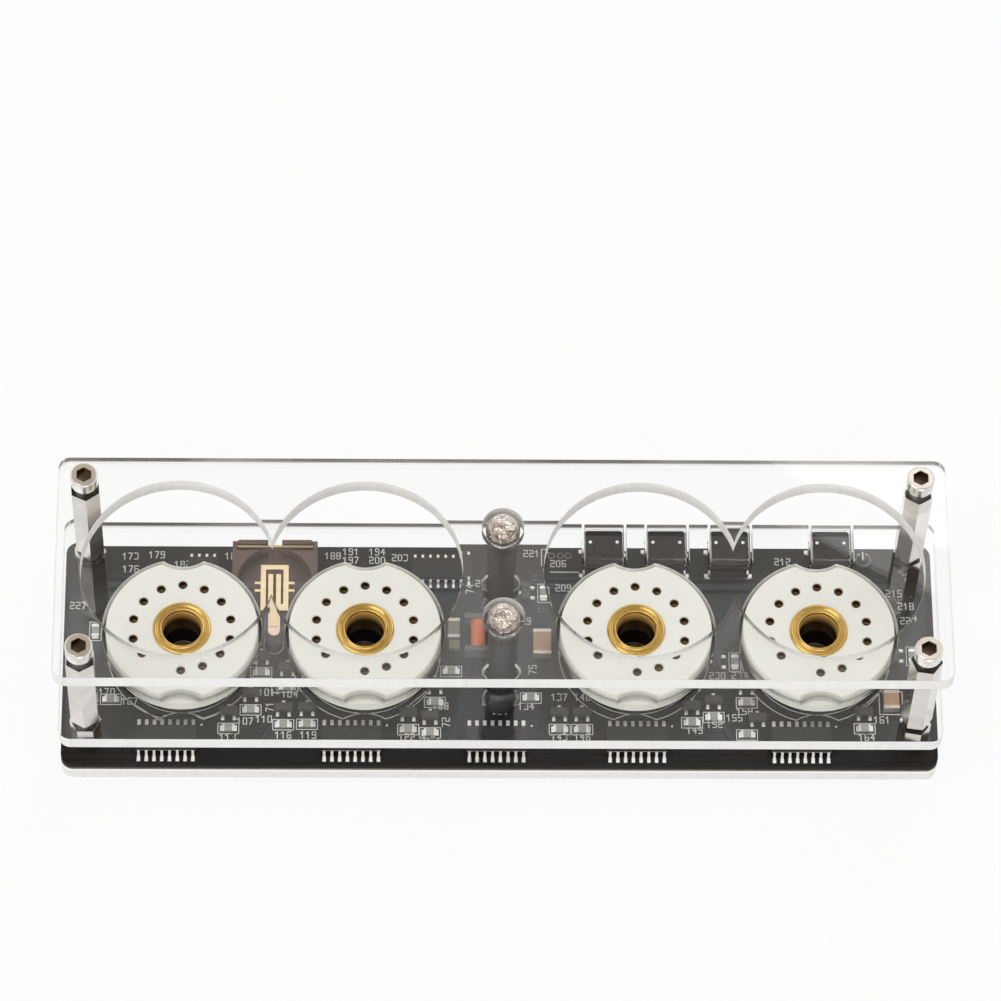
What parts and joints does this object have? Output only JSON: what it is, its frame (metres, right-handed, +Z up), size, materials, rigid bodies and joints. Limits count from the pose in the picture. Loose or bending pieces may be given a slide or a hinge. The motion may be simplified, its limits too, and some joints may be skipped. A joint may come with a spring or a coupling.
{
  "type": "nixie tube clock",
  "caption": "Clock body without tubes: clear sheets held by hexagonal posts over a black circuit board with round tube sockets, two colon lamps and sprung rear buttons",
  "frame": {"origin": "middle of the rectangle that the four screw-head feet stand on, at desk level", "axes": "+X to the right along the long side, +Y to the rear edge with the buttons, +Z up out of the tube holes"},
  "size_m": [0.144, 0.04, 0.0403],
  "materials": {
    "acrylic": "clear polished sheet with cut edges",
    "nickel": "bright nickel plate",
    "nylon": "satin",
    "board": "satin solder mask",
    "switch_black": "satin",
    "tinned": "satin tin plate",
    "lamp_lens": "clear cast resin",
    "spacer_black": "satin",
    "holder_plastic": "satin",
    "gold": "gold plate",
    "chip": "matt moulding",
    "resistor": "glazed",
    "olive_ceramic": "ceramic",
    "tan_ceramic": "ceramic",
    "ferrite": "ferrite",
    "winding": "enamelled wire",
    "socket_white": "satin",
    "brass": "polished"
  },
  "bodies": {
    "clock_body": {"base_plate": "acrylic", "base_screws": "nickel", "board_washers": "nylon", "main_board": "board", "lower_standoffs": "nickel", "middle_plate": "acrylic", "upper_standoffs": "nickel", "top_plate": "acrylic", "cap_screws": "nickel", "switch_bodies": "switch_black", "switch_legs": "tinned", "socket_cap_1": "socket_white", "socket_cap_2": "socket_white", "socket_cap_3": "socket_white", "socket_cap_4": "socket_white", "socket_base_1": "socket_white", "socket_base_2": "socket_white", "socket_base_3": "socket_white", "socket_base_4": "socket_white", "socket_eyelet_1": "brass", "socket_eyelet_2": "brass", "socket_eyelet_3": "brass", "socket_eyelet_4": "brass", "socket_contacts_1": "brass", "socket_contacts_2": "brass", "socket_contacts_3": "brass", "socket_contacts_4": "brass", "lamp_rear": "lamp_lens", "lamp_front": "lamp_lens", "lamp_spacer_rear": "spacer_black", "lamp_spacer_front": "spacer_black", "lamp_leads": "tinned", "battery_holder": "holder_plastic", "battery_contact": "gold", "battery_spring": "gold", "driver_chip_1": "chip", "driver_chip_2": "chip", "driver_chip_3": "chip", "driver_chip_4": "chip", "driver_chip_5": "chip", "control_chip": "chip", "clock_chip": "chip", "transistors": "chip", "resistors": "resistor", "small_capacitors": "olive_ceramic", "large_capacitors": "tan_ceramic", "inductor_core": "ferrite", "inductor_winding": "winding"},
    "tongue_1": {"button_tongue_1": "acrylic"},
    "plunger_1": {"button_plunger_1": "switch_black"},
    "tongue_2": {"button_tongue_2": "acrylic"},
    "plunger_2": {"button_plunger_2": "switch_black"},
    "tongue_3": {"button_tongue_3": "acrylic"},
    "plunger_3": {"button_plunger_3": "switch_black"},
    "tongue_4": {"button_tongue_4": "acrylic"},
    "plunger_4": {"button_plunger_4": "switch_black"}
  },
  "joints": [
    {"name": "tongue_1_bend", "type": "hinge", "parent": "clock_body", "child": "tongue_1", "pos_m": [0.0173, 0.0133, 0.0143], "axis": [-1, 0, 0], "range_deg": [0, 4]},
    {"name": "plunger_1_travel", "type": "slide", "parent": "clock_body", "child": "plunger_1", "axis": [0, 0, -1], "range_m": [0, 0.00025], "stiffness_N_per_m": 200},
    {"name": "tongue_2_bend", "type": "hinge", "parent": "clock_body", "child": "tongue_2", "pos_m": [0.0277, 0.0133, 0.0143], "axis": [-1, 0, 0], "range_deg": [0, 4]},
    {"name": "plunger_2_travel", "type": "slide", "parent": "clock_body", "child": "plunger_2", "axis": [0, 0, -1], "range_m": [0, 0.00025], "stiffness_N_per_m": 200},
    {"name": "tongue_3_bend", "type": "hinge", "parent": "clock_body", "child": "tongue_3", "pos_m": [0.0382, 0.0133, 0.0143], "axis": [-1, 0, 0], "range_deg": [0, 4]},
    {"name": "plunger_3_travel", "type": "slide", "parent": "clock_body", "child": "plunger_3", "axis": [0, 0, -1], "range_m": [0, 0.00025], "stiffness_N_per_m": 200},
    {"name": "tongue_4_bend", "type": "hinge", "parent": "clock_body", "child": "tongue_4", "pos_m": [0.055, 0.0133, 0.0143], "axis": [-1, 0, 0], "range_deg": [0, 4]},
    {"name": "plunger_4_travel", "type": "slide", "parent": "clock_body", "child": "plunger_4", "axis": [0, 0, -1], "range_m": [0, 0.00025], "stiffness_N_per_m": 200}
  ],
  "couplings": [
    {"joint": "tongue_1_bend", "follows": "plunger_1_travel", "rad_per_m": 277.7},
    {"joint": "tongue_2_bend", "follows": "plunger_2_travel", "rad_per_m": 277.7},
    {"joint": "tongue_3_bend", "follows": "plunger_3_travel", "rad_per_m": 277.7},
    {"joint": "tongue_4_bend", "follows": "plunger_4_travel", "rad_per_m": 277.7}
  ]
}
